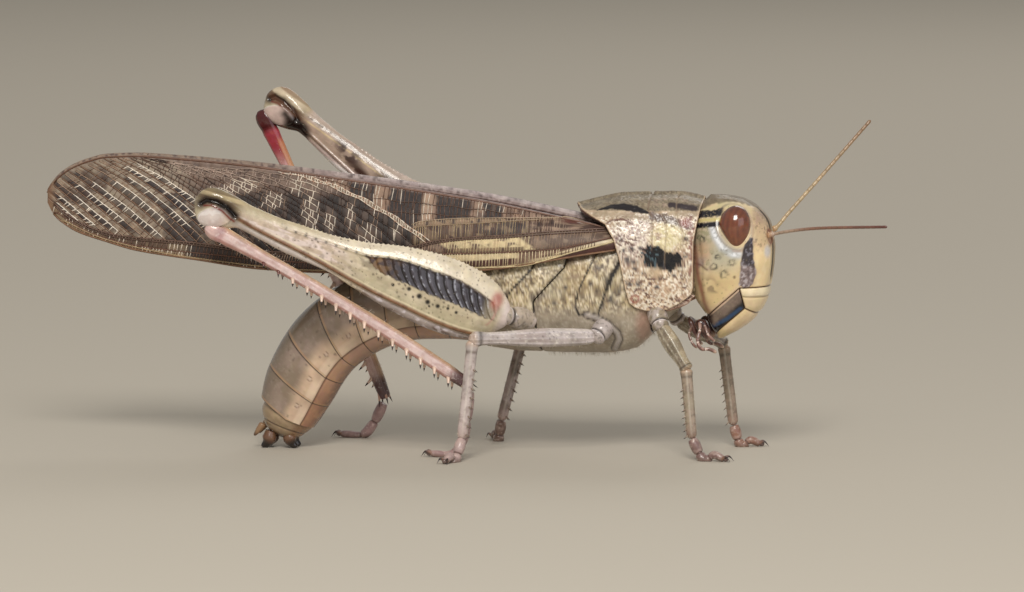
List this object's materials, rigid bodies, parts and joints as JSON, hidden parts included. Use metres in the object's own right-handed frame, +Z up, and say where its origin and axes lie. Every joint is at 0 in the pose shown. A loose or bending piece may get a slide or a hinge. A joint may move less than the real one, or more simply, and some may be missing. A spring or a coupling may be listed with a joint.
{
  "type": "grasshopper",
  "caption": "Life-size model of a large locust, a kind of grasshopper, standing on six legs with its wings folded and its abdomen bent down to the floor.",
  "frame": {"origin": "middle of the bounding box, on the floor that the feet stand on", "axes": "+X towards the head, +Y to the animal's left, +Z up"},
  "size_m": [0.0758, 0.023, 0.0314],
  "materials": {
    "thorax_plate": "mottled olive and ochre horny plate, satin",
    "pronotum_shield": "pitted cream, pink and tan shield with black patches, satin",
    "head_capsule": "smooth cream and olive horny shell, softly glossy",
    "face_plate": "smooth pale cream plate, softly glossy",
    "mandible": "blue-black polished jaw",
    "eye": "glossy red-brown eye",
    "mouthpart": "red-brown horny feelers and flaps",
    "antenna": "pale brown to red-brown, satin",
    "forewing": "parchment-like wing, brown with cream veins and dark patches",
    "hindwing": "folded clear membrane with brown veins",
    "abdomen_plate": "tan plate, glossy",
    "valve": "dark hard hooked valve",
    "walking_leg": "grey-olive to lilac-grey shell, softly glossy",
    "hind_thigh": "ivory with dark herringbone band and black dots",
    "hind_shin": "pink-lilac with cream spines tipped in black",
    "foot": "red-brown joints with dark claws"
  },
  "bodies": {
    "root": {"prothorax": "thorax_plate", "mesothorax": "thorax_plate", "metathorax": "thorax_plate", "pronotum": "pronotum_shield", "head": "head_capsule", "clypeus": "face_plate", "labrum": "face_plate", "mandible_right": "mandible", "eye_right": "eye", "maxilla_right": "mouthpart", "antenna_right": "antenna", "forewing_right": "forewing", "hindwing_right": "hindwing", "mandible_left": "mandible", "eye_left": "eye", "maxilla_left": "mouthpart", "antenna_left": "antenna", "forewing_left": "forewing", "hindwing_left": "hindwing", "labium": "mouthpart", "abdomen_1": "abdomen_plate", "abdomen_2": "abdomen_plate", "abdomen_3": "abdomen_plate", "abdomen_4": "abdomen_plate", "abdomen_5": "abdomen_plate", "abdomen_6": "abdomen_plate", "abdomen_7": "abdomen_plate", "abdomen_8": "abdomen_plate", "abdomen_tip": "abdomen_plate", "valve_upper_right": "valve", "valve_upper_left": "valve", "valve_lower_right": "valve", "valve_lower_left": "valve", "fore_right_coxa": "walking_leg", "fore_right_femur": "walking_leg", "fore_right_tibia": "walking_leg", "fore_right_tarsus": "foot", "fore_left_coxa": "walking_leg", "fore_left_femur": "walking_leg", "fore_left_tibia": "walking_leg", "fore_left_tarsus": "foot", "mid_right_coxa": "walking_leg", "mid_right_femur": "walking_leg", "mid_right_tibia": "walking_leg", "mid_right_tarsus": "foot", "mid_left_coxa": "walking_leg", "mid_left_femur": "walking_leg", "mid_left_tibia": "walking_leg", "mid_left_tarsus": "foot", "hind_right_coxa": "walking_leg", "hind_right_femur": "hind_thigh", "hind_right_tibia": "hind_shin", "hind_right_tarsus": "foot", "hind_left_coxa": "walking_leg", "hind_left_femur": "hind_thigh", "hind_left_tibia": "hind_shin", "hind_left_tarsus": "foot"}
  },
  "joints": []
}
